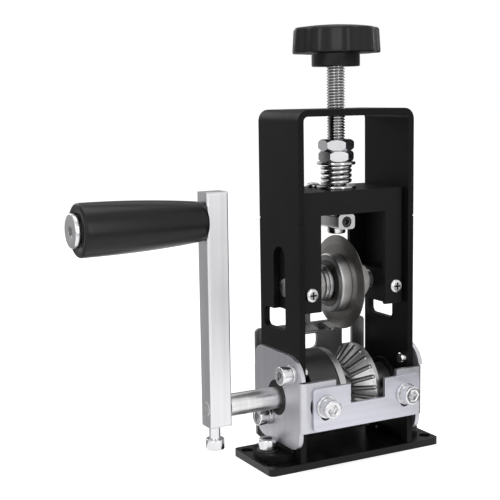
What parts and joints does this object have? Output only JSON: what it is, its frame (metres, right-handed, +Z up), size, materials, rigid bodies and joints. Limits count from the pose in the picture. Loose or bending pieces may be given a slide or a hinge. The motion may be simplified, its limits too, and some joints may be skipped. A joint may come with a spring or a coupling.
{
  "type": "hand crank wire stripper",
  "caption": "Bench-mounted hand crank wire stripper: a toothed V roller draws the cable through while a round blade in a sprung, screw-adjusted carriage slits its jacket.",
  "frame": {"origin": "centre of the base plate's underside, between its four bench screw holes", "axes": "+X to the right with the crank at -X, +Y to the back where the cable leaves, +Z up along the lead screw"},
  "size_m": [0.2076, 0.0733, 0.2355],
  "materials": {
    "black_paint": "black powder coat on sheet steel, satin",
    "black_plastic": "moulded black plastic, satin",
    "satin_steel": "machined or blasted steel, satin",
    "bright_steel": "bright plated steel",
    "zinc_steel": "blue-white zinc plated sheet",
    "blade_steel": "ground tool steel with a bright edge",
    "dark_steel": "blackened steel"
  },
  "bodies": {
    "frame": {"base_plate": "black_paint", "frame_bracket": "black_paint", "foot_screws": "bright_steel", "foot_washers": "satin_steel", "left_bracket": "satin_steel", "right_bracket": "satin_steel", "bracket_screws": "bright_steel", "bracket_washers": "satin_steel", "left_bush": "black_plastic", "right_bush": "black_plastic", "guide_screws": "bright_steel", "guide_washers": "satin_steel", "rear_guide": "satin_steel", "rear_screws": "bright_steel", "rear_washers": "satin_steel"},
    "guide": {"guide_plate": "zinc_steel"},
    "drive": {"drive_shaft": "bright_steel", "feed_roller": "satin_steel", "roller_sleeve": "black_plastic", "hub_set_screw": "dark_steel", "crank_arm": "satin_steel", "clamp_screw": "bright_steel", "grip_bolt": "bright_steel"},
    "grip": {"grip": "black_plastic"},
    "lift": {"upper_washer": "bright_steel", "spring": "bright_steel"},
    "screw": {"lead_screw": "bright_steel", "jam_nuts": "satin_steel", "knob": "black_plastic", "stop_sleeve": "satin_steel", "stop_block": "bright_steel", "stop_set_screw": "dark_steel"},
    "carriage": {"carriage_shell": "black_paint", "axle_blocks": "dark_steel", "leg_screws": "bright_steel", "roof_screws": "bright_steel", "blade_axle": "satin_steel", "axle_nuts": "satin_steel", "axle_washers": "bright_steel", "axle_spacers": "dark_steel", "bearing_race": "bright_steel", "lower_washer": "bright_steel"},
    "blade": {"blade": "blade_steel", "blade_ring": "satin_steel", "blade_bearing": "dark_steel"}
  },
  "joints": [
    {"name": "knob_turn", "type": "hinge", "parent": "lift", "child": "screw", "pos_m": [0, 0, 0], "axis": [0, 0, 1], "range_deg": [-3960, 2880]},
    {"name": "lift_slide", "type": "slide", "parent": "frame", "child": "lift", "axis": [0, 0, 1], "range_m": [-0.0165, 0.012]},
    {"name": "carriage_float", "type": "slide", "parent": "lift", "child": "carriage", "axis": [0, 0, 1], "range_m": [0, 0.001], "stiffness_N_per_m": 8000, "springref_m": -0.0005, "deforming": ["spring"]},
    {"name": "blade_spin", "type": "hinge", "parent": "carriage", "child": "blade", "pos_m": [0, 0, 0.096], "axis": [1, 0, 0], "continuous": true},
    {"name": "crank_spin", "type": "hinge", "parent": "frame", "child": "drive", "pos_m": [0, 0, 0.036], "axis": [1, 0, 0], "continuous": true},
    {"name": "grip_spin", "type": "hinge", "parent": "drive", "child": "grip", "pos_m": [0, 0, 0.1352], "axis": [1, 0, 0], "continuous": true},
    {"name": "guide_lift", "type": "slide", "parent": "frame", "child": "guide", "axis": [0, 0, 1], "range_m": [0, 0.0044]}
  ],
  "couplings": [
    {"joint": "knob_turn", "follows": "lift_slide", "rad_per_m": 4188.8}
  ]
}
